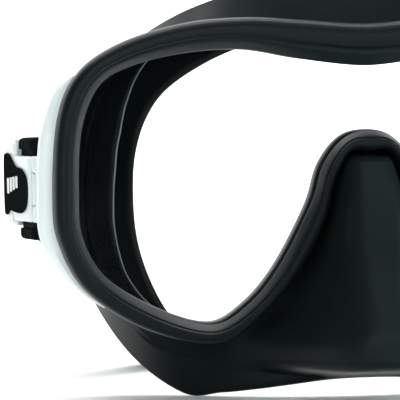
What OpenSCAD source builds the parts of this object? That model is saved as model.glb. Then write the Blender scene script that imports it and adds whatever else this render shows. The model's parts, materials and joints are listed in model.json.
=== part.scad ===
// Single-lens diving mask: one glass pane in a soft rim, a silicone skirt with a nose
// pocket, two side frames that carry swivelling squeeze-button buckles, and a head strap.
// It stands on its cheek lobes with the strap laid down behind it.
// +Z up, the glass faces -Y. Origin: middle of the overall box, on the resting surface.

/* [Rim and glass] */
// Width across the outside of the rim
rim_w = 156; // [152:1:160]
// Glass thickness
glass_t = 3.5; // [3:0.1:4]
// How far the rim's crown stands in front of the glass
rim_crown = 5; // [4:0.5:6]

/* [Skirt] */
// Thickness of the skirt wall
skirt_t = 2; // [1.6:0.1:2.2]
// Thickness of the skirt at the tip of the face seal
seal_t = 0.9; // [0.8:0.1:1.4]
// How far the nose pocket stands in front of the glass
nose_reach = 28; // [24:1:32]

/* [Buckles] */
// Height of the buckles' middle above the resting surface
buckle_z = 53; // [51:1:55]
// How far each buckle is swung outwards at rest, in degrees
buckle_splay = 10; // [6:1:12]
// Radius of the vertical hinge pin
pin_r = 1; // [0.8:0.1:1.2]
// Radius of the strap roller
roller_r = 2.3; // [2.1:0.1:2.4]
// How far each button travels when it is squeezed
button_travel = 1.5; // [1:0.1:1.6]

/* [Strap] */
// Width of the strap's side bands
strap_w = 19; // [18:0.5:19]
// Thickness of the strap
strap_t = 1.6; // [1.2:0.1:1.7]
// Distance from the glass to the back edge of the laid-down head pad
strap_reach = 172; // [170:1:174]

/* [Hidden] */
$fn = 48;

soft_black = [0.11, 0.13, 0.13];
hard_black = [0.05, 0.06, 0.06];
shell_white = [0.92, 0.94, 0.93];
steel_grey = [0.7, 0.7, 0.72];

lens_y = -(strap_reach - nose_reach - skirt_t / 2) / 2;
widen = rim_w / 156;

// ---- Outlines. Right half, from the top centre round to the nose arch, as [x, z]. ----
opening_half = [[0, 81.9], [16, 83.8], [30, 86.5], [44, 86.1], [57.5, 83.2], [66, 78.4],
    [70.6, 68], [71.7, 52.5], [70.9, 41], [64.6, 30.5], [51.5, 22.6], [39.5, 19.2],
    [31, 23.6], [23, 32.7], [14.6, 48.2], [11.2, 58], [6, 64.2], [0, 65.9]];
rim_half = [[0, 92.2], [16, 93.4], [30, 94.3], [45.5, 93.1], [61, 88.6], [71.5, 81.4],
    [76.5, 70], [78, 51], [76.8, 40], [70.5, 28.2], [56.6, 18.8], [40, 14.6],
    [29, 19.6], [19.5, 29.7], [12, 41.9], [8.6, 53.7], [5.1, 60.6], [0, 60.8]];
fold_half = [[0, 106], [16, 104.5], [30, 100.3], [43, 95.4], [54, 88.5], [63, 79],
    [67.5, 67.5], [69, 53], [68.5, 40], [65, 25], [56, 10.3], [44.5, 1.5],
    [36, 1.8], [28, 2.6], [20, 3.6], [12, 4.6], [6, 5], [0, 5.1]];
face_half = [[0, 92], [14, 91], [28, 87.5], [38, 83.2], [47, 77], [52, 69.8],
    [54.8, 60.5], [55.5, 50], [54.8, 39.5], [52.3, 30], [48, 21], [41.5, 14],
    [34, 10.5], [26, 10], [19, 11], [12, 12.5], [6, 13], [0, 13]];

function mix(a, b, t) = a + (b - a) * t;
function clamp01(t) = min(1, max(0, t));
function ease(a, b, x) = let (t = clamp01((x - a) / (b - a))) t * t * (3 - 2 * t);
function unit(v) = v / norm(v);

// A closed loop from a half outline, and the same loop drawn smooth through its points.
function whole(half) = let (n = len(half))
    [for (i = [0:1:2 * n - 3]) i < n ? [half[i].x * widen, half[i].y]
        : [-half[2 * n - 2 - i].x * widen, half[2 * n - 2 - i].y]];
function spline(a, b, c, d, t) = 0.5 * (2 * b + (c - a) * t
    + (2 * a - 5 * b + 4 * c - d) * t * t + (3 * b - a - 3 * c + d) * t * t * t);
function smooth_loop(loop, steps) = let (n = len(loop))
    [for (i = [0:n - 1], k = [0:steps - 1])
        spline(loop[(i + n - 1) % n], loop[i], loop[(i + 1) % n], loop[(i + 2) % n], k / steps)];
function smooth_line(pts, steps) = let (n = len(pts))
    [for (i = [0:n - 2], k = [0:steps - 1])
        spline(pts[max(0, i - 1)], pts[i], pts[i + 1], pts[min(n - 1, i + 2)], k / steps),
        pts[n - 1]];

steps = 2;
opening = smooth_loop(whole(opening_half), steps);
rim_edge = smooth_loop(whole(rim_half), steps);
fold = smooth_loop(whole(fold_half), steps);
face = smooth_loop(whole(face_half), steps);

// ---- Solids from rings of points. ----
// A closed tube of equal sections that returns to its start.
module ring_solid(rings) {
    n = len(rings);
    m = len(rings[0]);
    polyhedron([for (r = rings) each r], [for (i = [0:n - 1], k = [0:m - 1])
        let (a = i * m + k, b = i * m + (k + 1) % m,
            c = ((i + 1) % n) * m + (k + 1) % m, d = ((i + 1) % n) * m + k)
        each [[a, b, c], [a, c, d]]]);
}
// A tube of equal sections with flat ends.
module bar_solid(rings) {
    n = len(rings);
    m = len(rings[0]);
    polyhedron([for (r = rings) each r], concat(
        [for (i = [0:n - 2], k = [0:m - 1])
            let (a = i * m + k, b = i * m + (k + 1) % m, c = a + m, d = b + m)
            each [[a, b, d], [a, d, c]]],
        [[for (k = [m - 1:-1:0]) k]], [[for (k = [0:m - 1]) (n - 1) * m + k]]));
}
// A ring whose section is given as [share from the opening to the rim's edge, y].
module perimeter_ring(section) {
    ring_solid([for (i = [0:len(opening) - 1]) [for (s = section)
        let (p = mix(opening[i], rim_edge[i], s[0])) [p.x, s[1], p.y]]]);
}
module at_glass() translate([0, lens_y, 0]) children();

// ---- Glass, rim and retainer ring. ----
glass_share = 0.45;
module lens() {
    color([0.8, 0.9, 0.92, 0.35]) at_glass() rotate([90, 0, 0]) translate([0, 0, -glass_t])
        linear_extrude(glass_t)
            polygon([for (i = [0:len(opening) - 1]) mix(opening[i], rim_edge[i], glass_share)]);
}
module rim() {
    color(soft_black) at_glass() perimeter_ring([[0, 0], [0, -0.7], [0.22, -2.6],
        [0.36, -3.7], [0.5, -rim_crown + 0.2], [0.66, -rim_crown], [0.84, -rim_crown + 0.9],
        [0.96, -2.2], [1, -0.6], [1, glass_t], [0.52, glass_t], [0.52, 0]]);
}
flange_back = glass_t + skirt_t;
retainer_back = flange_back + 3;
module retainer_ring() {
    color(hard_black) at_glass() perimeter_ring([[0.4, flange_back + 0.05],
        [0.64, flange_back + 0.05], [0.64, retainer_back], [0.4, retainer_back]]);
}

// ---- Skirt. ----
// The face it seals on, as a depth behind the glass.
function face_y(x, z) = let (h = (z - 5) / 100)
    mix(10, 22, h) + mix(0.0085, 0.0045, h) * x * x;
// The nose pocket: its ridge, its half width and its squareness at each height.
nose_top = 61;
nose_tip = 15;
nose_base = 9.6;
function ridge_y(z) = nose_reach * pow(clamp01((nose_top + 1 - z) / (nose_top - nose_tip)), 0.65);
function nose_w(z) = z > 24 ? mix(5.3, 13, clamp01((nose_top - z) / 37))
    : mix(13, 19, ease(24, 13, z));
function nose_p(z) = mix(3, 5.5, ease(22, 45, z));
function nose_share(x, z) = exp(-pow(abs(x) / nose_w(z), nose_p(z)))
    * ease(nose_base - 3, nose_base, z) * ease(nose_top - 0.6, nose_top - 2.8, z);
function skirt_y(x, z, base) = mix(base, -ridge_y(z), nose_share(x, z));

neck_share = 0.12;
neck_y = retainer_back + 1.6;
wall_steps = [0, 0.05, 0.08, 0.1, 0.12, 0.17, 0.24, 0.32, 0.42, 0.54, 0.66, 0.76, 0.84, 0.89, 0.925,
    0.96, 1];
// Middle surface of the skirt at one station, from the glass flange to the seal's tip.
function skirt_line(i) = let (
    g = opening[i], r = rim_edge[i], b = fold[i], c = face[i],
    flange = mix(g, r, glass_share), neck = mix(g, r, neck_share),
    y0 = glass_t + skirt_t / 2, yb = face_y(b.x, b.y))
    concat(
        [[flange.x, y0, flange.y], [neck.x, y0, neck.y]],
        [for (v = wall_steps) let (p = mix(neck, b, v))
            [p.x, skirt_y(p.x, p.y, mix(neck_y, yb - 4, pow(v, 1.1))), p.y]],
        [for (w = [0.1, 0.3, 0.62, 1]) let (p = mix(b, c, w))
            [p.x, face_y(p.x, p.y) - 1.5 * w * w, p.y]]);
skirt_lines = [for (i = [0:len(opening) - 1]) skirt_line(i)];
skirt_n = len(skirt_lines);
skirt_m = len(skirt_lines[0]);
function skirt_normal(i, j) = unit(cross(
    skirt_lines[(i + 1) % skirt_n][j] - skirt_lines[(i + skirt_n - 1) % skirt_n][j],
    skirt_lines[i][min(skirt_m - 1, j + 1)] - skirt_lines[i][max(0, j - 1)]));
function skirt_half_t(j) = j < skirt_m - 4 ? skirt_t / 2
    : mix(skirt_t, seal_t, (j - skirt_m + 5) / 4) / 2;
module skirt() {
    color(soft_black) at_glass() ring_solid([for (i = [0:skirt_n - 1]) concat(
        [for (j = [0:skirt_m - 1]) skirt_lines[i][j] + skirt_normal(i, j) * skirt_half_t(j)],
        [for (j = [skirt_m - 1:-1:0])
            skirt_lines[i][j] - skirt_normal(i, j) * skirt_half_t(j)])]);
}
// ---- Side frames: a crescent behind the rim's edge, with a two-eared hinge lug. ----
hinge_x = 79.2;
hinge_y = 17.5;
ear_r = 2.7;
ear_z = [4.2, 8.2];
fit_gap = 0.05;
press_gap = 0.01;
// [place along the rim, stand-out past the rim's edge, depth of the crescent behind it]
crescent = [[5.05, 0.5, 9.4], [5.3, 1.7, 9.8], [5.65, 2.4, 10.4], [6, 2.8, 11.4], [6.35, 3.4, 12.2],
    [6.9, 3.3, 12.8], [7.8, 3.6, 12.2], [8.15, 3.2, 11.2], [8.45, 2.2, 10.4], [8.75, 1.6, 9.9],
    [9.05, 1, 9.6], [9.4, 0.3, 9.4]];
function on_half(half, t) = let (i = floor(t)) spline(half[i - 1], half[i], half[i + 1],
    half[i + 2], t - i);
function crescent_section(i) = let (
    t = crescent[i][0], w = crescent[i][1], back = crescent[i][2],
    p = on_half(rim_half, t), q = on_half(rim_half, t + 0.02),
    along = unit(q - p), out = [-along.y, along.x],
    hook = 0.35 + w * 0.95, ring_y = retainer_back + 0.15)
    [for (s = [[w * 0.5, glass_t], [w * 0.9, glass_t + 1.3], [w, 7], [w * 0.95, mix(7, back, 0.6)],
        [w * 0.75, back], [-0.2, back], [-hook, ring_y + 0.7], [-hook, ring_y], [-0.2, ring_y],
        [-0.2, glass_t]])
        [p.x * widen + out.x * s[0], s[1] + (s[1] == glass_t ? 0.05 : 0), p.y + out.y * s[0]]];
module on_side(side) mirror([side < 0 ? 1 : 0, 0, 0]) children();
module at_hinge(side, splay = buckle_splay) on_side(side)
    translate([hinge_x * widen, lens_y + hinge_y, buckle_z]) rotate([0, 0, -splay]) children();
// A vertical rod centred on the origin's height.
module rod(r, z0, z1) translate([0, 0, z0]) cylinder(r = r, h = z1 - z0);
// A box from its two corners.
module block(a, b) translate(a) cube(b - a);
// A shallow lug in front of the hinge, with a hollowed outer edge.
module hinge_guard() translate([0, -3.2, 0]) rotate([90, 0, 0]) linear_extrude(3)
    difference() {
        translate([-1, -6.4]) square([3.6, 12]);
        translate([20.2, 0]) circle(r = 18.5, $fn = 160);
    }
module side_frame(side) {
    color(shell_white) {
        on_side(side) at_glass() bar_solid([for (i = [0:len(crescent) - 1]) crescent_section(i)]);
        at_hinge(side, 0) difference() {
            for (s = [1, -1]) {
                rod(ear_r, min(s * ear_z[0], s * ear_z[1]), max(s * ear_z[0], s * ear_z[1]));
                block([-2.4, -6.2, s > 0 ? ear_z[0] : -ear_z[1]],
                    [1.3, 0, s > 0 ? ear_z[1] : -ear_z[0]]);
            }
            rod(pin_r + press_gap, -ear_z[1] - 1, ear_z[1] + 1);
        }
        at_hinge(side, 0) hinge_guard();
    }
}
module hinge_pin(side) color(steel_grey) at_hinge(side, 0) rod(pin_r, -ear_z[1], ear_z[1]);

// ---- Buckles. Local X points outwards, Y backwards from the hinge, Z up. ----
roller_at = [-2.4, 24];
pawl_at = [-1.6, 12];
axle_r = 1;
pawl_pin_r = 0.8;
knuckle_h = 3.9;
neck_back = 4.9;
wall_z = [5.6, 6.6];
cheek_z = [9.7, 11];
// The strap side of the buckle sits a little higher than its hinge.
rear_lift = 1.5;
box_back = 18.6;
cover_in = 2;
cover_out = 2.9;
cover_z = [8.2, 10.3];
floor_x = [-5, -4];
slot_y = [5.7, 9.3];
module cheek_outline() hull() {
    translate([-2.2, 26.5]) circle(r = 4.5);
    translate([-4.9, box_back]) square([7.2, 0.9]);
}
module buckle_body(side) {
    color(shell_white) at_hinge(side) difference() {
        union() {
            rod(ear_r - 0.1, -knuckle_h, knuckle_h);
            block([-2, 0, -knuckle_h], [2, 3.4, knuckle_h]);
            block([-4.4, 3.1, -8.2], [cover_in, neck_back, 8.2]);
            block([floor_x[0], neck_back, -wall_z[1]], [floor_x[1], box_back, wall_z[1]]);
            block([cover_in, 3.1, -cover_z[0]], [cover_out, box_back + 0.9, cover_z[0]]);
            block([cover_in, box_back, rear_lift - cover_z[1]], [cover_out, 28, rear_lift + cover_z[1]]);
            for (s = [1, -1]) {
                block([floor_x[0], neck_back, s > 0 ? wall_z[0] : -wall_z[1]],
                    [cover_in, box_back, s > 0 ? wall_z[1] : -wall_z[0]]);
                block([floor_x[0], box_back, s > 0 ? wall_z[0] : rear_lift - cheek_z[1]],
                    [cover_in, box_back + 0.9, s > 0 ? rear_lift + cheek_z[1] : -wall_z[0]]);
                translate([0, 0, rear_lift + (s > 0 ? cheek_z[0] : -cheek_z[1])])
                    linear_extrude(cheek_z[1] - cheek_z[0]) cheek_outline();
            }
        }
        rod(pin_r + fit_gap, -knuckle_h - 1, knuckle_h + 1);
        translate([roller_at.x, roller_at.y, 0]) rod(axle_r + press_gap, -13, 13);
        translate([pawl_at.x, pawl_at.y, 0]) rod(pawl_pin_r + press_gap, -8, 8);
        for (s = [1, -1])
            block([-3.9, slot_y[0], s > 0 ? 5 : -7], [-0.7, slot_y[1], s > 0 ? 7 : -5]);
    }
}
badge_t = 0.7;
// Outline of the badge as [distance behind the hinge, height]; its round end is at the front.
badge_edge = [[3.8, -0.6], [5, 3], [9.5, 5], [15.5, 5.6], [19.5, 7.2], [22.5, 8.6], [25.6, 8.9],
    [27.3, 7.6], [27.5, 1], [27.3, -5.6], [25.4, -6.8], [22, -5.6], [16, -6], [9.5, -6],
    [5.2, -4.2]];
module buckle_badge(side) {
    color(hard_black) at_hinge(side) translate([cover_out, 0, 0]) rotate([90, 0, 90])
        linear_extrude(badge_t) polygon(smooth_loop(badge_edge, 4));
}
// A free button stands its travel and a little more above the buckle's wall.
button_z = [wall_z[1] + button_travel + 0.2, 12.6];
module button(side, up) {
    color(hard_black) at_hinge(side) mirror([0, 0, up ? 0 : 1]) {
        difference() {
            block([-4.2, 5.2, button_z[0]], [1.7, 18.2, button_z[1]]);
            for (y = [6.6:1.9:17]) block([-5, y, button_z[1] - 0.7], [2, y + 0.8, 13]);
        }
        block([-3.6, 6, 5.8], [-1, 9, button_z[0]]);
    }
}
spring_r = 1.1;
wire_r = 0.2;
module button_spring(side) {
    turns = 6;
    rings = turns * 12;
    color(steel_grey) at_hinge(side) translate([-2.3, 7.5, -5.5])
        bar_solid([for (i = [0:rings]) let (a = i * 30, lift = wire_r + i * (11 - 2 * wire_r) / rings)
            [for (k = [0:5]) let (r = spring_r + wire_r * cos(k * 60))
                [r * cos(a), r * sin(a), lift + wire_r * sin(k * 60)]]]);
}
module pawl(side) {
    color(hard_black) at_hinge(side) difference() {
        union() {
            translate([pawl_at.x, pawl_at.y, 0]) rod(1.9, -5.3, 5.3);
            translate([0, 0, -5.3]) linear_extrude(10.6) polygon([[-3.2, pawl_at.y],
                [0, pawl_at.y], [-1.7, 19.4], [-3.1, 19.4]]);
        }
        translate([pawl_at.x, pawl_at.y, 0]) rod(pawl_pin_r + fit_gap, -6, 6);
    }
}
module pawl_pin(side) color(steel_grey) at_hinge(side) translate([pawl_at.x, pawl_at.y, 0])
    rod(pawl_pin_r, -wall_z[1], wall_z[1]);
module strap_roller(side) color(hard_black) at_hinge(side)
    translate([roller_at.x, roller_at.y, rear_lift]) difference() {
        rod(roller_r, -strap_w / 2 + 0.2, strap_w / 2 - 0.2);
        rod(axle_r + fit_gap, -13, 13);
    }
module roller_axle(side) color(steel_grey) at_hinge(side)
    translate([roller_at.x, roller_at.y, rear_lift]) rod(axle_r, -cheek_z[1], cheek_z[1]);

// ---- Strap. ----
loop_r = roller_r + 0.3;
end_y = 44;
tail_y = 34;
module strap_end(side) {
    inner = roller_at.x - loop_r;
    outer = roller_at.x + loop_r;
    color(soft_black) at_hinge(side) translate([0, 0, rear_lift - strap_w / 2])
        linear_extrude(strap_w) {
        difference() {
            translate(roller_at) circle(r = loop_r + strap_t);
            translate(roller_at) circle(r = loop_r);
            translate([-20, roller_at.y]) square(40);
        }
        translate([inner - strap_t, roller_at.y]) square([strap_t, end_y - roller_at.y]);
        polygon([[outer, roller_at.y], [outer + strap_t, roller_at.y],
            [inner + strap_t + 0.2, tail_y], [inner + strap_t + 0.2, end_y - 2],
            [inner + 0.2, end_y - 2], [inner + 0.2, tail_y]]);
    }
}
module strap_keeper(side) {
    inner = roller_at.x - loop_r - strap_t - 0.1;
    outer = inner + 2 * strap_t + 0.4;
    color(hard_black) at_hinge(side) translate([0, 0, rear_lift]) difference() {
        block([inner - 1.2, 35.5, -strap_w / 2 - 1.3], [outer + 1.2, 39.5, strap_w / 2 + 1.3]);
        block([inner, 35, -strap_w / 2 - 0.1], [outer, 40, strap_w / 2 + 0.1]);
    }
}
// The laid-down band's route behind the glass: [x, y, z, lean of its upper edge outwards].
band_route = [[81.2, 62.2, 54.5, 0], [82, 66.8, 54.1, 2], [80.6, 75.5, 51.3, 10],
    [75.2, 87, 43.5, 24], [66.5, 100, 32.5, 43], [56, 113, 20.5, 62], [46, 124.5, 10, 78],
    [37.5, 134, 3.2, 88], [30, 142, 1, 90]];
band_path = smooth_line(band_route, 3);
function band_section(i) = let (
    n = len(band_path), p = band_path[i],
    here = [p.x, p.y, p.z], a = band_path[max(0, i - 1)], b = band_path[min(n - 1, i + 1)],
    along = unit([b.x - a.x, b.y - a.y, b.z - a.z]),
    out = unit(cross(along, [0, 0, 1])), up = cross(out, along),
    wide = (up * cos(p[3]) + out * sin(p[3])) * strap_w / 2,
    thick = cross(along, wide) / norm(wide) * strap_t / 2)
    [here + wide + thick, here + wide - thick, here - wide - thick, here - wide + thick];
module strap_band(side) color(soft_black) on_side(side) at_glass()
    bar_solid([for (i = [0:len(band_path) - 1]) band_section(i)]);
pad_half = [[0, 45.5], [12, 44], [22.4, 37.2], [36.8, 23.8], [36, 14], [27, 5], [14, 1], [0, 0]];
module head_pad() {
    outline = smooth_loop(whole(pad_half), 3);
    color(soft_black) at_glass() linear_extrude(strap_t) difference() {
        polygon([for (p = outline) [p.x, strap_reach - p.y]]);
        hull() for (s = [-1, 1]) translate([s * 17, strap_reach - 23]) circle(r = 3);
    }
}

lens();
rim();
retainer_ring();
skirt();
side_frame(-1);  // side_frame_left
side_frame(1);  // side_frame_right
buckle_body(-1);  // buckle_body_left
buckle_body(1);  // buckle_body_right
buckle_badge(-1);  // buckle_badge_left
buckle_badge(1);  // buckle_badge_right
hinge_pin(-1);  // hinge_pin_left
hinge_pin(1);  // hinge_pin_right
button(-1, true);  // upper_button_left
button(1, true);  // upper_button_right
button(-1, false);  // lower_button_left
button(1, false);  // lower_button_right
button_spring(-1);  // button_spring_left
button_spring(1);  // button_spring_right
pawl(-1);  // pawl_left
pawl(1);  // pawl_right
pawl_pin(-1);  // pawl_pin_left
pawl_pin(1);  // pawl_pin_right
strap_roller(-1);  // strap_roller_left
strap_roller(1);  // strap_roller_right
roller_axle(-1);  // roller_axle_left
roller_axle(1);  // roller_axle_right
strap_end(-1);  // strap_end_left
strap_end(1);  // strap_end_right
strap_keeper(-1);  // strap_keeper_left
strap_keeper(1);  // strap_keeper_right
strap_band(-1);  // strap_band_left
strap_band(1);  // strap_band_right
head_pad();
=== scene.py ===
"""The diving mask's looks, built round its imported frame. Lengths in this script are millimetres,
measured in the frame's own axes, except that depths count from the front of the glass."""
import json
import math

import bmesh
import bpy
import numpy as np
from mathutils import Matrix, Vector


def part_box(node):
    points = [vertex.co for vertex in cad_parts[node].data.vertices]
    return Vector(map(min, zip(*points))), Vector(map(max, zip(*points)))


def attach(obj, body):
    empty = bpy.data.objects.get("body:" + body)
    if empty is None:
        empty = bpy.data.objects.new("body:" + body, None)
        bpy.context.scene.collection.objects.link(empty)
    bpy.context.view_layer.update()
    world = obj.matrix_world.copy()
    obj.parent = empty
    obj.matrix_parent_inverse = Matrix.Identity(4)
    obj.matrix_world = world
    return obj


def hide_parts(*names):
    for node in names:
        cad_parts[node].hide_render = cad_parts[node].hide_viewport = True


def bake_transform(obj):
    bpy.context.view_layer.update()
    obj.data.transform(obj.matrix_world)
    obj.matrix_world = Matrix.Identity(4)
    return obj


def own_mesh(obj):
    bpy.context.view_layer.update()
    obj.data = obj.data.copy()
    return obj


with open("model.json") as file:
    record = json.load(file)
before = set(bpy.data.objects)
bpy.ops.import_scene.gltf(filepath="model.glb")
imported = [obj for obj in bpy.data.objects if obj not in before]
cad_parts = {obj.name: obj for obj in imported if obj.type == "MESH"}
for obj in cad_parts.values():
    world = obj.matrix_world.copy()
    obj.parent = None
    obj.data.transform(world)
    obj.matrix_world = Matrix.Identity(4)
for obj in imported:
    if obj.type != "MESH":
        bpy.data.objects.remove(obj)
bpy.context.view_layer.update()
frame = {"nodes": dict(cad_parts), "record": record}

MM = 0.001
GLASS_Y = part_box("lens")[0].y / MM
GLASS_T = (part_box("lens")[1].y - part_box("lens")[0].y) / MM
# The outlines below are those of a rim that reaches 78 mm to each side.
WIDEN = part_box("rim")[1].x / MM / 78
SIDES = {"left": -1, "right": 1}

# ------------------------------------------------------------------ outlines
# Right halves, from the top centre round to the nose arch, as (x, z).
OPENING = [(0, 81.9), (16, 83.8), (30, 86.5), (44, 86.1), (57.5, 83.2), (66, 78.4),
           (70.6, 68), (71.7, 52.5), (70.9, 41), (64.6, 30.5), (51.5, 22.6), (39.5, 19.2),
           (31, 23.6), (23, 32.7), (14.6, 48.2), (11.2, 58), (6, 64.2), (0, 65.9)]
RIM_EDGE = [(0, 92.2), (16, 93.4), (30, 94.3), (45.5, 93.1), (61, 88.6), (71.5, 81.4),
            (76.5, 70), (78, 51), (76.8, 40), (70.5, 28.2), (56.6, 18.8), (40, 14.6),
            (29, 19.6), (19.5, 29.7), (12, 41.9), (8.6, 53.7), (5.1, 60.6), (0, 60.8)]
FOLD = [(0, 106), (16, 104.5), (30, 100.3), (43, 95.4), (54, 88.5), (63, 79),
        (67.5, 67.5), (69, 53), (68.5, 40), (65, 25), (56, 10.3), (44.5, 1.5),
        (36, 1.8), (28, 2.6), (20, 3.6), (12, 4.6), (6, 5), (0, 5.1)]
FACE = [(0, 92), (14, 91), (28, 87.5), (38, 83.2), (47, 77), (52, 69.8),
        (54.8, 60.5), (55.5, 50), (54.8, 39.5), (52.3, 30), (48, 21), (41.5, 14),
        (34, 10.5), (26, 10), (19, 11), (12, 12.5), (6, 13), (0, 13)]


def spline(a, b, c, d, t):
    """A Catmull-Rom curve between b and c."""
    return 0.5 * (2 * b + (c - a) * t + (2 * a - 5 * b + 4 * c - d) * t ** 2
                  + (3 * b - a - 3 * c + d) * t ** 3)


def whole(half):
    """A closed loop from a right half's outline."""
    right = [(x * WIDEN, z) for x, z in half]
    left = [(-x, z) for x, z in reversed(right[1:-1])]
    return np.array(right + left, float)


def smooth_loop(loop, steps):
    """A closed curve through the loop's points."""
    n = len(loop)
    out = []
    for i in range(n):
        a, b, c, d = (loop[(i + k) % n] for k in (-1, 0, 1, 2))
        out += [spline(a, b, c, d, k / steps) for k in range(steps)]
    return np.array(out)


def smooth_line(points, steps):
    """An open curve through the points."""
    pts = np.array(points, float)
    n = len(pts)
    out = []
    for i in range(n - 1):
        a, b, c, d = pts[max(0, i - 1)], pts[i], pts[i + 1], pts[min(n - 1, i + 2)]
        out += [spline(a, b, c, d, k / steps) for k in range(steps)]
    out.append(pts[-1])
    return np.array(out)


def b_spline(rows, steps):
    """Rows along a rounded curve near the given ones, from the first row to the last."""
    p = np.asarray(rows, float)
    p = np.concatenate([2 * p[:1] - p[1:2], p, 2 * p[-1:] - p[-2:-1]])
    out = []
    for i in range(len(p) - 3):
        closing = 1 if i == len(p) - 4 else 0
        for k in range(steps + closing):
            t = k / steps
            w = ((1 - t) ** 3 / 6, (3 * t ** 3 - 6 * t ** 2 + 4) / 6,
                 (-3 * t ** 3 + 3 * t ** 2 + 3 * t + 1) / 6, t ** 3 / 6)
            out.append(sum(w[j] * p[i + j] for j in range(4)))
    return np.array(out)


def mix(a, b, t):
    """From a to b as t goes from 0 to 1."""
    return a + (b - a) * t


def ease(a, b, x):
    """A smooth step from 0 to 1 as x goes from a to b."""
    t = np.clip((x - a) / (b - a), 0, 1)
    return t * t * (3 - 2 * t)


# ------------------------------------------------------------------ meshes
def new_object(name, verts, faces, material):
    """An object from points in millimetres, whose y counts from the front of the glass."""
    v = np.asarray(verts, float).copy()
    v[:, 1] += GLASS_Y
    mesh = bpy.data.meshes.new(name)
    mesh.from_pydata((v * MM).tolist(), [], faces)
    mesh.validate()
    bm = bmesh.new()
    bm.from_mesh(mesh)
    bmesh.ops.recalc_face_normals(bm, faces=bm.faces)
    bm.to_mesh(mesh)
    bm.free()
    mesh.shade_smooth()
    mesh.materials.append(material)
    obj = bpy.data.objects.new(name, mesh)
    bpy.context.scene.collection.objects.link(obj)
    return obj


def grid_faces(n, m, wrap_n, wrap_m):
    """Quads over n rows of m points, stored row by row."""
    rows, columns = np.arange(n if wrap_n else n - 1), np.arange(m if wrap_m else m - 1)
    i, k = np.meshgrid(rows, columns, indexing="ij")
    a, b = i * m + k, i * m + (k + 1) % m
    c, d = ((i + 1) % n) * m + (k + 1) % m, ((i + 1) % n) * m + k
    return np.stack([a, b, c, d], -1).reshape(-1, 4).tolist()


def loop_tube(rings):
    """Points and faces of a tube of equal sections that returns to its start."""
    r = np.asarray(rings)
    n, m = r.shape[:2]
    return r.reshape(-1, 3), grid_faces(n, m, True, True)


def capped_tube(rings):
    """Points and faces of a tube of equal sections with closed ends."""
    r = np.asarray(rings)
    n, m = r.shape[:2]
    ends = [list(range(m)), list(range((n - 1) * m, n * m))]
    return r.reshape(-1, 3), grid_faces(n, m, False, True) + ends


def finish_piece(obj, body, slot, *nodes):
    """The piece rides on a body and stands for the nodes; its slot is not used."""
    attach(obj, body)
    if nodes:
        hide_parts(*nodes)
    return obj


# ------------------------------------------------------------------ materials
# The size of the blotches, how far the roughness strays, and the grain's depth in metres.
BLOTCH_SCALE = 60
ROUGH_SPREAD = 0.05
GRAIN_DEPTH = 0.0002


def principled(name, color, roughness, **sockets):
    """A material and its shader, with its other sockets named as on the node."""
    mat = bpy.data.materials.new(name)
    mat.use_nodes = True
    shader = mat.node_tree.nodes["Principled BSDF"]
    shader.inputs["Base Color"].default_value = (*color, 1)
    shader.inputs["Roughness"].default_value = roughness
    for key, value in sockets.items():
        shader.inputs[key.replace("_", " ")].default_value = value
    return mat, shader


def surface_detail(mat, shader, color, spread, roughness, bump, bump_scale):
    """Blotchy colour and gloss, and a fine moulded grain."""
    nodes, links = mat.node_tree.nodes, mat.node_tree.links
    coords = nodes.new("ShaderNodeTexCoord")
    noise = nodes.new("ShaderNodeTexNoise")
    noise.inputs["Scale"].default_value = BLOTCH_SCALE
    noise.inputs["Detail"].default_value = 5
    ramp = nodes.new("ShaderNodeValToRGB")
    low, high = (tuple(c * f for c in color) for f in (1 - spread, 1 + spread))
    ramp.color_ramp.elements[0].color = (*low, 1)
    ramp.color_ramp.elements[1].color = (*high, 1)
    ramp.color_ramp.elements[0].position = 0.3
    ramp.color_ramp.elements[1].position = 0.7
    gloss = nodes.new("ShaderNodeMapRange")
    gloss.inputs["To Min"].default_value = roughness - ROUGH_SPREAD
    gloss.inputs["To Max"].default_value = roughness + ROUGH_SPREAD
    grain = nodes.new("ShaderNodeTexNoise")
    grain.inputs["Scale"].default_value = bump_scale
    grain.inputs["Detail"].default_value = 3
    bumper = nodes.new("ShaderNodeBump")
    bumper.inputs["Strength"].default_value = bump
    bumper.inputs["Distance"].default_value = GRAIN_DEPTH
    for texture in (noise, grain):
        links.new(coords.outputs["Object"], texture.inputs["Vector"])
    links.new(noise.outputs["Fac"], ramp.inputs["Fac"])
    links.new(noise.outputs["Fac"], gloss.inputs["Value"])
    links.new(ramp.outputs["Color"], shader.inputs["Base Color"])
    links.new(gloss.outputs["Result"], shader.inputs["Roughness"])
    links.new(grain.outputs["Fac"], bumper.inputs["Height"])
    if bump:
        links.new(bumper.outputs["Normal"], shader.inputs["Normal"])


def moulded(name, color, roughness, spread=0.12, bump=0.25, bump_scale=900, **sockets):
    """A moulded material; without bump it has no grain."""
    mat, shader = principled(name, color, roughness, **sockets)
    surface_detail(mat, shader, color, spread, roughness, bump, bump_scale)
    return mat


RIM_RUBBER = moulded("rim_rubber", (0.0042, 0.0068, 0.0073), 0.36, bump=0.08, IOR=1.16)
# A lighter, glossier copy of the rim rubber, put on the inner bevel as a painted highlight.
RIM_BEVEL_HIGHLIGHT = moulded("rim_bevel_painted_highlight", (0.0065, 0.0105, 0.011), 0.34, bump=0.08, IOR=1.19)
SKIRT_SILICONE = moulded("skirt_silicone", (0.0066, 0.0098, 0.0105), 0.4, bump=0.08, IOR=1.14)
# A much darker copy of the skirt's silicone, with weaker gloss: painted shade for the skirt's inside and
# the inner lip's flap.
SKIRT_INSIDE_SHADE = moulded("skirt_inside_painted_shade", (0.0016, 0.002, 0.0023), 0.35, bump=0,
                       Specular_IOR_Level=0.1)
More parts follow.
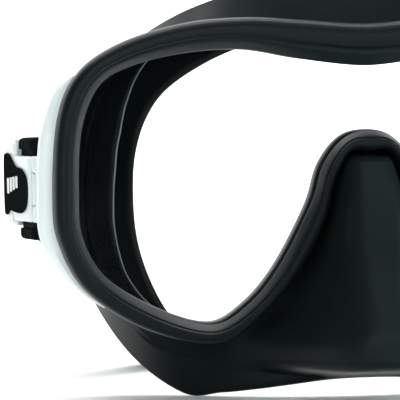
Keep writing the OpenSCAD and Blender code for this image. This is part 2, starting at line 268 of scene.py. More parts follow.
# A pale, glossy copy of the silicone for the inner lip's bead: a painted highlight.
LIP_EDGE_HIGHLIGHT = moulded("lip_edge_painted_highlight", (0.1, 0.13, 0.13), 0.3, bump=0.03, Specular_IOR_Level=0.5)
STRAP_SILICONE = moulded("strap_silicone", (0.009, 0.011, 0.0115), 0.5, Specular_IOR_Level=0.4)
SHELL_WHITE = moulded("shell_white", (0.63, 0.68, 0.675), 0.32, spread=0.015, bump=0.08)
HARD_BLACK = moulded("hard_black", (0.008, 0.009, 0.0095), 0.45, Specular_IOR_Level=0.4)
BUTTON_BLACK = moulded("button_black", (0.005, 0.0062, 0.0064), 0.6, IOR=1.05)
BADGE_BLACK = moulded("badge_black", (0.006, 0.008, 0.008), 0.75, bump=0.05, IOR=1.01)
BADGE_GREY = moulded("badge_grey", (0.62, 0.64, 0.64), 0.35, bump=0.05)
PIN_STEEL = moulded("pin_steel", (0.6, 0.61, 0.62), 0.25, bump_scale=1500, Metallic=1.0)
LENS_GLASS = principled("lens_glass", (0.02, 0.035, 0.035), 0.02, Alpha=0.025, IOR=1.5,
                        Specular_IOR_Level=0.5)[0]

# ------------------------------------------------------------------ rim, retainer ring, glass
STEPS = 12
opening, rim_edge, fold, face = (smooth_loop(whole(h), STEPS) for h in (OPENING, RIM_EDGE, FOLD, FACE))
STATIONS = len(opening)
GLASS_SHARE = 0.45
FLANGE_BACK = GLASS_T + 2
RETAINER_BACK = FLANGE_BACK + 3
CROWN = 5


def perimeter_points(section):
    """Rings of points from a section of (share from the opening to the rim's edge, depth)."""
    section = np.asarray(section, float)
    s, y = section[:, 0], section[:, 1]
    p = opening[:, None, :] + (rim_edge - opening)[:, None, :] * s[None, :, None]
    return np.stack([p[..., 0], np.broadcast_to(y, p.shape[:2]), p[..., 1]], -1)


def second_material(obj, material, columns, first, last):
    """Another material on the faces from one column of a ring's section to another."""
    obj.data.materials.append(material)
    column = np.arange(columns)
    index = np.tile((column >= first) & (column < last), STATIONS)
    obj.data.polygons.foreach_set("material_index", index.astype(np.int32))


# The rim's front from the inner bevel over the ridge and the broad crown to the outer edge.
RIM_FRONT = [(0, 0), (0, -0.35), (0.03, -0.75), (0.12, -1.9), (0.22, -3.1), (0.29, -3.75),
             (0.34, -3.95), (0.38, -4.1), (0.43, -4.75), (0.48, -CROWN), (0.56, -CROWN),
             (0.7, -4.85), (0.82, -4.4), (0.91, -3.6), (0.97, -2.4), (1, -1), (1, 0.6)]
RIM_BACK = [(1, GLASS_T - 0.5), (0.975, GLASS_T - 0.05), (0.93, GLASS_T), (0.6, GLASS_T),
            (0.52, GLASS_T), (0.52, 1), (0.52, 0), (0.3, 0)]
# The columns of the section, over the inner bevel, that take a lighter and glossier copy of the rim rubber
# as a painted highlight.
BEVEL_HIGHLIGHT_COLUMNS = (3, 22)


def rim_piece():
    front = smooth_line(RIM_FRONT, 4)
    section = np.concatenate([front, np.array(RIM_BACK)])
    obj = new_object("front_rim", *loop_tube(perimeter_points(section)), RIM_RUBBER)
    # The inner bevel takes the lighter copy of the rubber: a painted highlight.
    second_material(obj, RIM_BEVEL_HIGHLIGHT, len(section), *BEVEL_HIGHLIGHT_COLUMNS)
    return finish_piece(obj, "mask", "rim_rubber", "rim")


def retainer_piece():
    y0, y1 = FLANGE_BACK + 0.05, RETAINER_BACK
    section = [(0.4, y0 + 0.3), (0.43, y0), (0.6, y0), (0.64, y0 + 0.3), (0.64, y1 - 0.3),
               (0.6, y1), (0.43, y1), (0.4, y1 - 0.3)]
    obj = new_object("clamp_ring", *loop_tube(perimeter_points(section)), HARD_BLACK)
    return finish_piece(obj, "mask", "hard_black", "retainer_ring")


rim_piece()
retainer_piece()
frame["nodes"]["lens"].data.materials.clear()
frame["nodes"]["lens"].data.materials.append(LENS_GLASS)

# ------------------------------------------------------------------ skirt
SKIRT_T = 2.0
SEAL_T = 0.9
NOSE_REACH, NOSE_TOP, NOSE_TIP, NOSE_BASE = 28, 61, 15, 9.6
NECK_SHARE = 0.12
NECK_Y = RETAINER_BACK + 1.6
# How many columns inside the seal's tip keep the outer finish rather than the inside's painted shade.
SEAL_ROUND = 12
# The ribs on each cheek: their shares of the way to the seal's tip, width, height and stretch of outline.
RIB_AT, RIB_W, RIB_H = (0.4, 0.49, 0.57), 0.005, 0.7
RIB_START, RIB_END = (9.7, 10.3), (11.7, 11.3)


def face_y(x, z):
    """Depth of the face that the skirt seals on."""
    h = (z - 5) / 100
    return mix(10, 22, h) + mix(0.0085, 0.0045, h) * x * x


def ridge_y(z):
    """How far the nose pocket's ridge stands in front of the glass."""
    return NOSE_REACH * np.clip((NOSE_TOP + 1 - z) / (NOSE_TOP - NOSE_TIP), 0, 1) ** 0.65


def nose_w(z):
    """Half the nose pocket's width."""
    upper = mix(5.3, 13, np.clip((NOSE_TOP - z) / 37, 0, 1))
    lower = mix(13, 19, ease(24, 13, z))
    return np.where(z > 24, upper, lower)


def nose_share(x, z):
    """1 on the nose pocket's ridge, down to 0 beside it."""
    p = mix(3, 5.5, ease(22, 45, z))
    side = np.exp(-(np.abs(x) / nose_w(z)) ** p)
    return side * ease(NOSE_BASE - 3, NOSE_BASE, z) * ease(NOSE_TOP - 0.6, NOSE_TOP - 2.8, z)


def skirt_middle():
    """Middle surface, stations by path points, from the glass flange to the seal's tip."""
    flange = mix(opening, rim_edge, GLASS_SHARE)
    neck = mix(opening, rim_edge, NECK_SHARE)
    fold_y = face_y(fold[:, 0], fold[:, 1])

    def at(p, y):
        return np.stack([p[:, 0], np.broadcast_to(y, len(p)), p[:, 1]], -1)

    rows = [at(flange, GLASS_T + SKIRT_T / 2), at(mix(flange, neck, 0.6), GLASS_T + SKIRT_T / 2),
            at(neck, GLASS_T + SKIRT_T / 2)]
    # Close steps at the neck, where the nose pocket starts.
    for v in np.concatenate([np.linspace(0, 0.2, 16)[:-1], np.linspace(0.2, 1, 34)]):
        p = mix(neck, fold, v)
        base = mix(NECK_Y, fold_y - 4, v ** 1.1)
        share = nose_share(p[:, 0], p[:, 1])
        rows.append(at(p, mix(base, -ridge_y(p[:, 1]), share)))
    for w in (0.1, 0.3, 0.62, 1):
        p = mix(fold, face, w)
        rows.append(at(p, face_y(p[:, 0], p[:, 1]) - 1.5 * w * w))
    return b_spline(np.array(rows), 3).transpose(1, 0, 2)


def grid_normals(grid):
    """Unit normals of a grid that closes along its first axis."""
    along = np.roll(grid, -1, 0) - np.roll(grid, 1, 0)
    across = np.gradient(grid, axis=1)
    n = np.cross(along, across)
    return n / np.linalg.norm(n, axis=-1, keepdims=True)


def skirt_piece():
    middle = skirt_middle()
    normals = grid_normals(middle)
    m = middle.shape[1]
    share = np.linspace(0, 1, m)
    half = mix(SKIRT_T, SEAL_T, ease(0.9, 1, share)) / 2
    station = np.minimum(np.arange(STATIONS), STATIONS - np.arange(STATIONS)) / STEPS
    along = ease(*RIB_START, station) * ease(*RIB_END, station)
    rib = sum(np.exp(-((share - v) / RIB_W) ** 2) for v in RIB_AT)
    raised = RIB_H * along[:, None] * rib[None, :]
    outer = middle + normals * (half[None, :] + raised)[..., None]
    inner = middle - normals * half[None, :, None]
    rings = np.concatenate([outer, inner[:, ::-1]], 1)
    obj = new_object("skirt_shell", *loop_tube(rings), SKIRT_SILICONE)
    # The inner faces, short of the seal's tip, take the darker copy of the silicone as painted shade.
    second_material(obj, SKIRT_INSIDE_SHADE, 2 * m, m, 2 * m - SEAL_ROUND)
    return finish_piece(obj, "mask", "skirt_silicone", "skirt")


skirt_piece()

# The edge of the inner sealing lip, right half, from the brow down to the cheek, as (x, z).
LIP_LINE = [(44, 89.2), (48.5, 87.2), (51.8, 84.9), (54, 82.3), (55.8, 79.2), (57.3, 75.5),
            (58.5, 71.8), (59.5, 67), (60.5, 62.4), (61, 57.5), (61.5, 52.8), (61.7, 46),
            (61.4, 41.8), (60.5, 36.7), (59.1, 31.9), (57.2, 28.4), (54.8, 25.2), (51.5, 22)]
LIP_Y = 20
BEAD_R = 0.28


def inner_lip_piece(side):
    """A thin flap that stands in from the skirt's wall, with a rounded bead along its edge. The flap's
    dark finish is painted shade and the bead's pale one a painted highlight.
    """
    line = smooth_line(LIP_LINE, 6)
    along = np.gradient(line, axis=0)
    along /= np.linalg.norm(along, axis=1, keepdims=True)
    out = np.column_stack([-along[:, 1], along[:, 0]])
    if out[len(out) // 2, 0] < 0:
        out = -out
    fade = np.sin(np.linspace(0, math.pi, len(line))) ** 0.25
    flap = [(0.1, 0.1), (1.5, 1.4), (4, 4.4), (6, 7.2), (6, 8.2), (4, 5.4), (1.5, 2.2), (0.1, 0.7)]
    turn = np.radians(np.arange(0, 360, 45))
    bead = [(BEAD_R * math.cos(t), 0.4 + BEAD_R * math.sin(t)) for t in turn]
    for name, section, material in (("inner_lip", flap, SKIRT_INSIDE_SHADE), ("inner_lip_highlight_bead", bead, LIP_EDGE_HIGHLIGHT)):
        rings = np.array([[(x + o[0] * s * f, LIP_Y + d * f, z + o[1] * s * f) for s, d in section]
                          for (x, z), o, f in zip(line, out, fade)]) * (SIDES[side], 1, 1)
        obj = new_object(f"{name}_{side}", *capped_tube(rings), material)
        finish_piece(obj, "mask", "skirt_silicone")


# ------------------------------------------------------------------ building blocks for the small parts
def flat_piece(outline, w0, w1, bevel, steps=3):
    """A plate over a counter-clockwise outline, from w0 to w1, with rounded edges."""
    p = np.asarray(outline, float)
    ahead, behind = np.roll(p, -1, 0) - p, p - np.roll(p, 1, 0)
    ahead /= np.linalg.norm(ahead, axis=1, keepdims=True)
    behind /= np.linalg.norm(behind, axis=1, keepdims=True)
    inward = np.stack([-(ahead + behind)[:, 1], (ahead + behind)[:, 0]], -1)
    inward /= np.linalg.norm(inward, axis=1, keepdims=True)
    turn = [math.radians(90 * k / steps) for k in range(steps + 1)]
    edge = [(bevel + 0.1, 0)] + [(bevel * (1 - math.sin(t)), bevel * (1 - math.cos(t))) for t in turn]
    rows = [(inset, w0 + up) for inset, up in edge]
    rows += [(inset, w1 - up) for inset, up in reversed(edge)]
    return capped_tube([np.column_stack([p + inward * inset, np.full(len(p), w)]) for inset, w in rows])


def rounded(corners, radius, steps=4):
    """A polygon with its corners rounded, by one radius or one for each."""
    p = np.asarray(corners, float)
    radii = np.broadcast_to(radius, len(p))
    out = []
    for i, (corner, r) in enumerate(zip(p, radii)):
        a, b = p[i - 1] - corner, p[(i + 1) % len(p)] - corner
        la, lb = np.linalg.norm(a), np.linalg.norm(b)
        start, end = corner + a / la * min(r, la / 2.05), corner + b / lb * min(r, lb / 2.05)
        for k in range(steps + 1):
            t = k / steps
            out.append((1 - t) ** 2 * start + 2 * t * (1 - t) * corner + t * t * end)
    return np.array(out)


def rectangle(u0, u1, v0, v1, radius):
    """A counter-clockwise rectangle with rounded corners."""
    return rounded([(u0, v0), (u1, v0), (u1, v1), (u0, v1)], radius)


def holed_plate(hole, outer, low, high):
    """A plate from low to high between a hole and an outer line of as many points, with eased edges."""
    section = [(0, low + 0.1), (0.1, low), (0.9, low), (1, low + 0.2),
               (1, high - 0.2), (0.9, high), (0.1, high), (0, high - 0.1)]
    return loop_tube([[(*mix(h, o, s), w) for s, w in section] for h, o in zip(hole, outer)])


def lathe(profile, sides=32):
    """A turned piece about the hinge's axis, from (radius, height) pairs."""
    angles = np.arange(sides) * 2 * math.pi / sides
    return capped_tube([np.column_stack([r * np.cos(angles), r * np.sin(angles), np.full(sides, z)])
                        for r, z in profile])


def joined(parts):
    """Several (points, faces) as one."""
    verts, faces, start = [], [], 0
    for v, f in parts:
        verts.append(v)
        faces += [[start + i for i in face] for face in f]
        start += len(v)
    return np.concatenate(verts), faces


def turned(piece, order):
    """A piece with its axes put in another order."""
    v, f = piece
    return v[:, list(order)], f


# Plates that face outwards, from (back, up) outlines, and backwards, from (out, up) outlines.
FACING_OUT, FACING_BACK = (2, 0, 1), (0, 2, 1)


# ------------------------------------------------------------------ where the buckles sit
def joint_row(name):
    """What the record says of a joint."""
    return next(j for j in frame["record"]["behaviour"]["joints"] if j["name"] == name)


def joint_place(name):
    """A joint's place, with its depth from the front of the glass."""
    return np.array(joint_row(name)["pos_m"]) / MM - (0, GLASS_Y, 0)


# The buckle's splay is how far its pawl, which sits at PAWL_AT in the buckle, has turned about the hinge.
HINGE = joint_place("right_buckle_swivel")
PAWL_AT = (-1.6, 12)
PAWL = joint_place("right_pawl_release") - HINGE
SPLAY = math.atan2(PAWL[0], PAWL[1]) - math.atan2(*PAWL_AT)


def from_hinge(points, splay=SPLAY):
    """Right-hand buckle points (outwards, backwards, up) in the mask's own axes."""
    b, a, z = np.asarray(points, float).T
    return np.column_stack([HINGE[0] + b * math.cos(splay) + a * math.sin(splay),
                            HINGE[1] - b * math.sin(splay) + a * math.cos(splay), HINGE[2] + z])


def side_object(name, side, piece, material, smooth_angle=35):
    """One of a mirrored pair, from points of the right-hand one in the mask's own axes."""
    v, f = piece
    obj = new_object(f"{name}_{side}", v * (SIDES[side], 1, 1), f, material)
    obj.data.set_sharp_from_angle(angle=math.radians(smooth_angle))
    return obj


# ------------------------------------------------------------------ side frames
# Place along the rim's edge, stand-out past it and depth of the crescent behind it.
CRESCENT = [(5.05, 0.5, 9.4), (5.3, 1.7, 9.8), (5.65, 2.4, 10.4), (6, 2.8, 11.4),
            (6.35, 3.4, 12.2), (6.9, 3.3, 12.8), (7.8, 3.6, 12.2), (8.15, 3.2, 11.2),
            (8.45, 2.2, 10.4), (8.75, 1.6, 9.9), (9.05, 1, 9.6), (9.4, 0.3, 9.4)]
EAR_R, EAR_Z = 2.7, (4.2, 8.2)
# The outer edge of the guard in front of the hinge is hollowed by an arc, centred this far outwards.
GUARD_CENTRE, GUARD_R = 20.2, 18.5


def crescent_rings():
    """The crescent's sections, each a hook that goes in behind the retainer ring."""
    half = np.array(RIM_EDGE, float) * (WIDEN, 1)
    rings = []
    for t, w, back in smooth_line(CRESCENT, 8):
        i = int(t)
        p, q = (spline(half[i - 1], half[i], half[i + 1], half[i + 2], t + d - i) for d in (0, 0.02))
        along = (q - p) / np.linalg.norm(q - p)
        out = np.array([-along[1], along[0]])
        hook, ring_y = 0.35 + w * 0.95, RETAINER_BACK + 0.15
        front = GLASS_T + 0.05
        corner = min(1.1, w * 0.45)
        section = [(-0.2, front), (w * 0.5, front), (w - corner, front + 0.35),
                   (w - corner * 0.3, front + 1.2), (w, front + 2.6), (w, mix(7, back, 0.5)),
                   (w * 0.96, back - 1), (w * 0.75, back - 0.2), (w * 0.5, back), (-0.2, back),
                   (-hook + 0.2, back), (-hook, back - 0.4), (-hook, ring_y), (-0.2, ring_y)]
        rings.append([(p[0] + out[0] * s, y, p[1] + out[1] * s) for s, y in section])
    return rings


def side_frame_piece(side):
    """The crescent, the guard in front of the hinge, and the hinge's two ears."""
    parts = [capped_tube(crescent_rings())]
    arc = [(GUARD_CENTRE - math.sqrt(GUARD_R ** 2 - z * z), z) for z in np.linspace(-5.4, 4.6, 14)]
    guard = [(-1, -6.4), (2.0, -6.4), (2.5, -6.1), *arc, (2.5, 5.3), (2.0, 5.6), (-1, 5.6)]
    v, f = flat_piece(guard, 3.2, 6.2, 0.5)
    parts.append((from_hinge(v[:, [0, 2, 1]] * (1, -1, 1), 0), f))
    for up in (1, -1):
        turn = np.radians(np.arange(-25, 206, 11))
        outline = [(EAR_R * math.cos(t), EAR_R * math.sin(t)) for t in turn]
        outline += [(-2.45, -6.2), (1.3, -6.2), (1.6, -2.4)]
        low, high = sorted((up * EAR_Z[0], up * EAR_Z[1]))
        v, f = flat_piece(outline, low, high, 0.35)
        parts.append((from_hinge(v, 0), f))
    obj = side_object("temple_frame", side, joined(parts), SHELL_WHITE)
    return finish_piece(obj, "mask", "shell_white", f"side_frame_{side}")


def hinge_pin_piece(side):
    v, f = lathe([(0.6, -8.4), (0.95, -8.25), (1, -8.1), (1, 8.1), (0.95, 8.25), (0.6, 8.4)])
    obj = side_object("swivel_pin", side, (from_hinge(v, 0), f), PIN_STEEL)
    return finish_piece(obj, "mask", "pin_steel", f"hinge_pin_{side}")


# ------------------------------------------------------------------ buckles
# Places are (outwards, backwards) from the hinge and heights are above its middle. The strap and what
# holds it sit LIFT higher.
LIFT = 1.5
ROLLER_AT = (-2.4, 24)
CHEEK_Z = (9.7, 11)
CHEEK_R, CHEEK_AT = 4.5, (-2.2, 26.5)
WALL_Z = (5.6, 6.6)
STEM = (-3.6, -1, 6, 9)
STEM_HOLE = (-3.9, -0.7, 5.7, 9.3)
BOX_BACK = 18.6
STRAP_W, STRAP_T = 19.0, 1.6
LOOP_R = 2.6
BUTTON_A, BUTTON_Z = (5.2, 18.2), (8.3, 12.15)
FOOT_TOP = 9.85
BUTTON_ROUND, BUTTON_RIB = 0.7, 0.75
RIB_PITCH = 3.25
SPRING_AT, SPRING_R, WIRE_R = (-2.3, 7.5), 1.1, 0.2
SPRING_HALF, SPRING_TURNS = 5.5, 6


def buckle_body_piece(side):
    """A box round the pawl and the spring, with the hinge's knuckle in front and cheeks behind."""
    rear = BOX_BACK + 0.9
    cover = rounded([(3.1, -8.2), (rear, -8.2), (rear, -8.9), (28, -8.9), (28, 11.8),
                     (BOX_BACK - 0.2, 11.8), (BOX_BACK - 0.2, 8.2), (3.1, 8.2)],
                    [1.4, 0.3, 0.3, 2.4, 3.2, 1.6, 0.8, 1.4], 6)
    front_wall = rectangle(-4.4, 2.3, -8.2, 8.2, 0.9)
    inner_wall = rectangle(4.5, BOX_BACK, -WALL_Z[1], WALL_Z[1], 0.5)
    knuckle = [(2.0, -3.9), (2.5, -3.75), (2.6, -3.4), (2.6, 3.4), (2.5, 3.75), (2.0, 3.9)]
    parts = [turned(flat_piece(cover, 1.3, 2.9, 0.7, 4), FACING_OUT),
             turned(flat_piece(front_wall, 3.1, 4.9, 0.5), FACING_BACK),
             turned(flat_piece(inner_wall, -5, -4, 0.3), FACING_OUT),
             lathe(knuckle),
             flat_piece(rectangle(-2, 2, 0.2, 3.4, 0.2), -3.9, 3.9, 0.15)]
    for up in (1, -1):
        low, high = sorted((up * WALL_Z[0], up * WALL_Z[1]))
        wall = rectangle(-5, 2, 4.5, BOX_BACK, 0.4)
        parts.append(holed_plate(rectangle(*STEM_HOLE, 0.3), wall, low, high))
        low, high = sorted((up * WALL_Z[0], LIFT + up * CHEEK_Z[1]))
        step = rectangle(-5, 2.1, low, high, 1.2)
        parts.append(turned(flat_piece(step, BOX_BACK, rear, 0.3), FACING_BACK))
        b, a = CHEEK_AT
        turn = np.radians(np.arange(-3, 184, 11))
        outline = [(b + CHEEK_R * math.cos(t), a + CHEEK_R * math.sin(t)) for t in turn]
        outline += [(-4.9, BOX_BACK), (2.3, BOX_BACK)]
        low, high = sorted((LIFT + up * CHEEK_Z[0], LIFT + up * CHEEK_Z[1]))
        parts.append(flat_piece(outline, low, high, 0.45))
    v, f = joined(parts)
    obj = side_object("buckle_shell", side, (from_hinge(v), f), SHELL_WHITE)
    return finish_piece(obj, f"{side}_buckle", "shell_white", f"buckle_body_{side}")


# The badge's outline as (distance behind the hinge, height), round end at the front.
BADGE_EDGE = [(3.8, -0.6), (5, 3), (9.5, 5), (15.5, 5.6), (19.5, 7.2), (22.5, 8.6), (25.6, 8.9),
              (27.3, 7.6), (27.5, 1), (27.3, -5.6), (25.4, -6.8), (22, -5.6), (16, -6), (9.5, -6),
              (5.2, -4.2)]
BAR_START, BAR_PITCH, BAR_W = 12.2, 3, 2.1


def badge_piece(side):
    """The badge plate and the four plain bars on it, each a little lower than the one in front."""
    outline = smooth_loop(np.array(BADGE_EDGE)[::-1], 6)
    v, f = turned(flat_piece(outline, 2.9, 3.6, 0.3, 4), FACING_OUT)
    obj = side_object("badge_plate", side, (from_hinge(v), f), BADGE_BLACK)
    finish_piece(obj, f"{side}_buckle", "badge_black", f"buckle_badge_{side}")
    bars = []
    for i in range(4):
        a, drop = BAR_START + i * BAR_PITCH, i * 0.5
        outline = rectangle(a, a + BAR_W, 0.2 - drop, 3.2 - drop * 0.4, 0.3)
        bars.append(turned(flat_piece(outline, 3.58, 3.68, 0.04), FACING_OUT))
    v, f = joined(bars)
    obj = side_object("badge_bars", side, (from_hinge(v), f), BADGE_GREY)
    return finish_piece(obj, f"{side}_buckle", "badge_black")


def button_piece(side, up):
    """A squeeze button: a ribbed block, whose narrower foot goes in behind the cover, and a stem."""
    rings = []
    for a in np.linspace(*BUTTON_A, 79):
        end = min(1, min(a - BUTTON_A[0], BUTTON_A[1] - a) / BUTTON_ROUND)
        shrink = BUTTON_ROUND * (1 - math.sqrt(1 - (1 - end) ** 2))
        rib = BUTTON_RIB * abs(math.sin((a - BUTTON_A[0]) * math.pi / RIB_PITCH)) ** 0.6 * end
        low, top = BUTTON_Z[0] + shrink * 0.5, BUTTON_Z[1] + rib - shrink
        inside, foot, outside = -4.2 + shrink, 1.1 - shrink, 1.5 + rib * 0.55 - shrink
        section = rounded([(inside, low), (foot, low), (foot, FOOT_TOP), (outside, 9.95),
                           (outside, top), (inside, top)], [0.3, 0.3, 0.1, 0.4, 1.9, 1.2])
        rings.append([(b, a, z) for b, z in section])
    stem = flat_piece(rectangle(*STEM, 0.3), 5.8, 8.5, 0.15)
    v, f = joined([capped_tube(rings), stem])
    v = v * (1, 1, 1 if up else -1)
    name = "upper_button" if up else "lower_button"
    obj = side_object(f"{name}_grip", side, (from_hinge(v), f), BUTTON_BLACK)
    return finish_piece(obj, f"{side}_{name}", "button_black", f"{name}_{side}")


def spring_piece(side):
    """The coil between the two buttons' stems."""
    rings = []
    for a in np.linspace(0, 1, SPRING_TURNS * 20 + 1):
        turn = a * SPRING_TURNS * 2 * math.pi
        # The end turns lie closer than the middle ones.
        end = SPRING_HALF - WIRE_R
        height = mix(-end, end, mix(a, ease(0, 1, a), 0.35))
        ring = []
        for k in np.radians(np.arange(0, 360, 45)):
            r = SPRING_R + WIRE_R * math.cos(k)
            ring.append((SPRING_AT[0] + r * math.cos(turn), SPRING_AT[1] + r * math.sin(turn),
                         height + WIRE_R * math.sin(k)))
        rings.append(ring)
    v, f = capped_tube(rings)
    obj = side_object("coil_spring", side, (from_hinge(v), f), PIN_STEEL, 60)
    finish_piece(obj, f"{side}_buckle", "pin_steel", f"button_spring_{side}")
    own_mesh(obj)
    return obj


def keeper_piece(side):
    """A loop round the strap's two layers."""
    wall, height = 1.2, STRAP_W + 0.2
    inner = ROLLER_AT[0] - LOOP_R - STRAP_T - 0.1
    outer = inner + 3.6
    low, high = LIFT - height / 2, LIFT + height / 2
    hole = rectangle(inner, outer, low, high, 0.5)
    edge = rectangle(inner - wall, outer + wall, low - wall, high + wall, 1.4)
    section = [(0, 35.7), (0.2, 35.5), (0.8, 35.5), (1, 35.8),
               (1, 39.2), (0.8, 39.5), (0.2, 39.5), (0, 39.3)]
    rings = [[(*mix(h, e, s), a) for s, a in section] for h, e in zip(hole, edge)]
    v, f = turned(loop_tube(rings), FACING_BACK)
    obj = side_object("strap_loop", side, (from_hinge(v), f), HARD_BLACK)
    return finish_piece(obj, f"{side}_buckle", "hard_black", f"strap_keeper_{side}")


# ------------------------------------------------------------------ strap
# The laid-down band behind the glass: x, y, z and the lean of its upper edge outwards.
BAND_ROUTE = [(82, 66.8, 54.1, 2), (80.6, 75.5, 51.3, 10), (75.2, 87, 43.5, 24),
              (66.5, 100, 32.5, 43), (56, 113, 20.5, 62), (46, 124.5, 10, 78),
              (37.5, 134, 3.2, 88), (30, 142, 1, 90)]
# How far along the strap its ridges start, how far before its end they stop, and their size.
RIDGE_START, RIDGE_STOP, RIDGE_PITCH, RIDGE_H = 52, 32, 2.7, 0.22


def strap_path():
    """The strap's middle line with its lean, from the tail round the roller and back to the pad."""
    x, y = ROLLER_AT
    r = LOOP_R + STRAP_T / 2
    arc = [(x + r * math.cos(t), y - r * math.sin(t)) for t in np.radians(np.arange(0, 181, 15))]
    tail = [(-4.0, 42), (-4.0, 38), (-4.0, 34.5), (-2.2, 31), (0.2, 27.2)]
    run = [(x - r, 28), (x - r, 34), (x - r, 40), (x - r, 44)]
    local = np.array([(b, a, LIFT) for b, a in tail + arc + run])
    points = np.column_stack([from_hinge(local), np.zeros(len(local))])
    return smooth_line(np.concatenate([points, np.array(BAND_ROUTE, float)]), 14)


def even_path(path, gap):
    """The same path at even steps."""
    step = np.linalg.norm(np.diff(path[:, :3], axis=0), axis=1)
    length = np.concatenate([[0], np.cumsum(step)])
    at = np.linspace(0, length[-1], int(length[-1] / gap))
    return np.column_stack([np.interp(at, length, path[:, k]) for k in range(path.shape[1])]), at


def strap_piece(side):
    """The whole band of one side, between its keeper and its middle."""
    path, at = even_path(strap_path(), 0.45)
    p, lean = path[:, :3], np.radians(path[:, 3])
    along = np.gradient(p, axis=0)
    along /= np.linalg.norm(along, axis=1, keepdims=True)
    out = np.cross(along, (0, 0, 1))
    out /= np.linalg.norm(out, axis=1, keepdims=True)
    up = np.cross(out, along)
    wide = up * np.cos(lean)[:, None] + out * np.sin(lean)[:, None]
    thick = np.cross(along, wide)
    total = at[-1]
    ribbed = ease(RIDGE_START, RIDGE_START + 4, at) * ease(total - RIDGE_STOP, total - RIDGE_STOP - 4, at)
    groove = RIDGE_H * ribbed * (0.5 - 0.5 * np.cos(at * 2 * math.pi / RIDGE_PITCH))
    profile = rectangle(-STRAP_W / 2, STRAP_W / 2, -STRAP_T / 2, STRAP_T / 2, 0.6)
    plain = STRAP_W / 2 - 1.6
    rings = [[c + w * u + t * (v - g * np.sign(v) * (abs(u) < plain)) for u, v in profile]
             for c, w, t, g in zip(p, wide, thick, groove)]
    obj = side_object("side_strap", side, capped_tube(rings), STRAP_SILICONE, 50)
    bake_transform(obj)
    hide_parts(f"strap_band_{side}", f"strap_end_{side}")
    return obj


# The depth of the head pad's back edge, its slot, and its right half's outline from its front edge to
# its back one, as (x, distance from the back edge).
STRAP_REACH = 172
PAD_MIDDLE, SLOT_END, SLOT_R = 23, 17, 3
PAD = [(0, 45.5), (12, 44), (22.4, 37.2), (36.8, 23.8), (36, 14), (27, 5), (14, 1), (0, 0)]


def by_angle(loop, centre, angles):
    """Points of a star-shaped loop at the given angles round a centre."""
    d = loop - centre
    a = np.arctan2(d[:, 1], d[:, 0])
    order = np.argsort(a)
    a, r = a[order], np.hypot(*d.T)[order]
    radius = np.interp(angles, np.concatenate([a - 2 * math.pi, a, a + 2 * math.pi]), np.tile(r, 3))
    return centre + np.column_stack([np.cos(angles), np.sin(angles)]) * radius[:, None]


def head_pad_piece():
    """The pad, flat on the floor, with a slot through it and ridges round the slot."""
    centre = np.array([0, PAD_MIDDLE])
    angles = np.linspace(-math.pi, math.pi, 241)[:-1]
    outer = by_angle(smooth_loop(whole(PAD), 16), centre, angles)
    slot = np.array([(x + SLOT_R * math.cos(t), PAD_MIDDLE + SLOT_R * math.sin(t))
                     for x, turn in ((SLOT_END, -90), (-SLOT_END, 90))
                     for t in np.radians(np.linspace(turn, turn + 180, 40))])
    between = np.linspace(0, 1, 20)[:-1, None]
    dense = np.concatenate([mix(p, q, between) for p, q in zip(slot, np.roll(slot, -1, 0))])
    inner = by_angle(dense, centre, angles)
    top = [(s, STRAP_T - 0.12 - 0.16 * (0.5 - 0.5 * math.cos(s * 12 * math.pi)))
           for s in np.linspace(0.94, 0.06, 60)]
    section = [(0, 0.5), (0.015, 0.12), (0.05, 0), (0.95, 0), (0.985, 0.12), (1, 0.5), (1, 1.1),
               (0.985, 1.4), *top, (0.015, 1.4), (0, 1.1)]
    rings = np.array([[(*mix(i, o, s), z) for s, z in section] for i, o in zip(inner, outer)])
    rings[..., 1] = STRAP_REACH - rings[..., 1]
    obj = new_object("split_head_pad", *loop_tube(rings), STRAP_SILICONE)
    return finish_piece(obj, "mask", "strap_silicone", "head_pad")


for each_side in SIDES:
    inner_lip_piece(each_side)
    side_frame_piece(each_side)
    hinge_pin_piece(each_side)
    buckle_body_piece(each_side)
    badge_piece(each_side)
    button_piece(each_side, True)
    button_piece(each_side, False)
    spring_piece(each_side)
    keeper_piece(each_side)
    strap_piece(each_side)
head_pad_piece()

# ------------------------------------------------------------------ carried CAD nodes
CARRIED = {"pawl": HARD_BLACK, "pawl_pin": PIN_STEEL, "strap_roller": HARD_BLACK, "roller_axle": PIN_STEEL}
for base, material in CARRIED.items():
    for each_side in SIDES:
        node = frame["nodes"][f"{base}_{each_side}"]
        node.data.materials.clear()
        node.data.materials.append(material)


# ------------------------------------------------------------------ stage, light, camera
def stage():
    """A pale floor that curves up far behind the mask, in metres."""
    mat = principled("pale_floor", (0.93, 0.93, 0.93), 0.9, Specular_IOR_Level=0.1)[0]
    size, back, bend = 10.0, 4.0, 1.5
    path = [(-size, 0)] + [(back + bend * math.sin(a), bend - bend * math.cos(a))
                           for a in np.linspace(0, math.pi / 2, 24)] + [(back + bend, size)]
    verts = [(x, y, z) for y, z in path for x in (-size, size)]
    faces = [(2 * i, 2 * i + 1, 2 * i + 3, 2 * i + 2) for i in range(len(path) - 1)]
    mesh = bpy.data.meshes.new("floor")
    mesh.from_pydata(verts, [], faces)
    mesh.shade_smooth()
    mesh.materials.append(mat)
    floor = bpy.data.objects.new("floor", mesh)
    bpy.context.scene.collection.objects.link(floor)


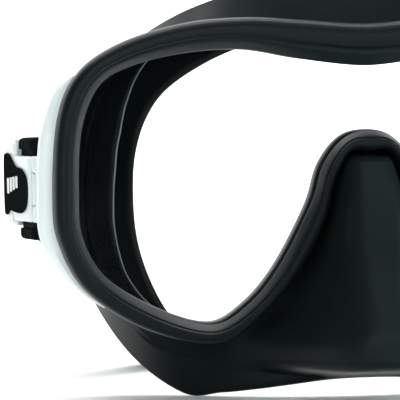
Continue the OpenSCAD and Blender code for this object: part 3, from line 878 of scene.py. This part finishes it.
def area_light(name, location, target, size, power, color=(1, 1, 1)):
    """A soft rectangular light at a place in metres, in watts."""
    data = bpy.data.lights.new(name, "AREA")
    data.shape = "RECTANGLE"
    data.size, data.size_y = size
    data.energy = power
    data.color = color
    obj = bpy.data.objects.new(name, data)
    obj.location = location
    obj.rotation_euler = (Vector(target) - Vector(location)).to_track_quat("-Z", "Y").to_euler()
    bpy.context.scene.collection.objects.link(obj)


def lights():
    """A dim white surround, soft lights above, in front and at the sides, and one for the backdrop."""
    world = bpy.data.worlds.new("studio")
    world.use_nodes = True
    background = world.node_tree.nodes["Background"]
    background.inputs["Color"].default_value = (1, 1, 1, 1)
    background.inputs["Strength"].default_value = 0.16
    bpy.context.scene.world = world
    area_light("top_softbox", (0, -0.3, 1.2), (0, 0, 0), (1.0, 0.8), 5, (0.93, 1, 1))
    area_light("front_fill", (-0.1, -1.7, 0.75), (0, 0, 0.05), (1.2, 1.0), 14, (0.96, 1, 1))
    area_light("left_strip", (-0.75, -1.3, 0.35), (0, -0.08, 0.04), (0.25, 0.6), 3.5, (0.9, 1, 1))
    area_light("right_strip", (1.0, -0.5, 0.3), (-0.05, -0.07, 0.05), (0.3, 0.9), 13, (0.85, 1, 1))
    area_light("backdrop_wash", (0, 2.25, 4.5), (0, 5.0, 0.75), (6.0, 2.5), 562)


# The middle of the view on the plane of the glass, and what it spans there.
AIM = (-42, 49.85)
SPAN = 97.9
AZIMUTH, ELEVATION, ROLL = -6.25, 1.6, 1.3
DISTANCE = 900
SENSOR = 36


def camera():
    """The photograph's view, from a little above and to the left of straight in front."""
    a, e = math.radians(AZIMUTH), math.radians(ELEVATION)
    back = Vector((math.sin(a) * math.cos(e), -math.cos(a) * math.cos(e), math.sin(e)))
    target = Vector((AIM[0], GLASS_Y, AIM[1])) * MM
    data = bpy.data.cameras.new("camera")
    data.sensor_width = SENSOR
    data.lens = SENSOR * DISTANCE / SPAN
    data.clip_start, data.clip_end = 0.05, 20
    obj = bpy.data.objects.new("camera", data)
    obj.location = target + back * DISTANCE * MM
    turn = (-back).to_track_quat("-Z", "Y").to_matrix() @ Matrix.Rotation(math.radians(-ROLL), 3, "Z")
    obj.rotation_euler = turn.to_euler()
    bpy.context.scene.collection.objects.link(obj)
    bpy.context.scene.camera = obj


stage()
lights()
camera()
bpy.context.scene.view_settings.view_transform = "Standard"
